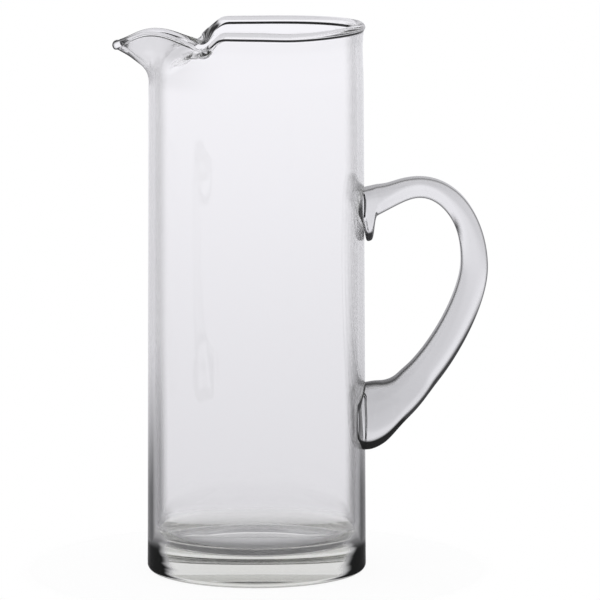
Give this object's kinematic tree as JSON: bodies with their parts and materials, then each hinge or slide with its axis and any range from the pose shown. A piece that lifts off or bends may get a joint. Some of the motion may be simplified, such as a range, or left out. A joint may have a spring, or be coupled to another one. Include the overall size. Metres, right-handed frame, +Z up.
{
  "type": "water carafe",
  "caption": "Tall clear glass jug with a heavy base, a pinched and pulled pouring lip and a welded solid glass strap handle.",
  "frame": {"origin": "where the axis of the body meets the plane of the ring that the jug stands on", "axes": "+Z up along the axis of the body, +X towards the handle, -X towards the pouring lip"},
  "size_m": [0.182, 0.107, 0.268],
  "materials": {
    "vessel_glass": "clear blown soda-lime glass, fire-polished",
    "handle_glass": "clear solid drawn soda-lime glass, fire-polished"
  },
  "bodies": {
    "root": {"vessel": "vessel_glass", "handle": "handle_glass"}
  },
  "joints": []
}
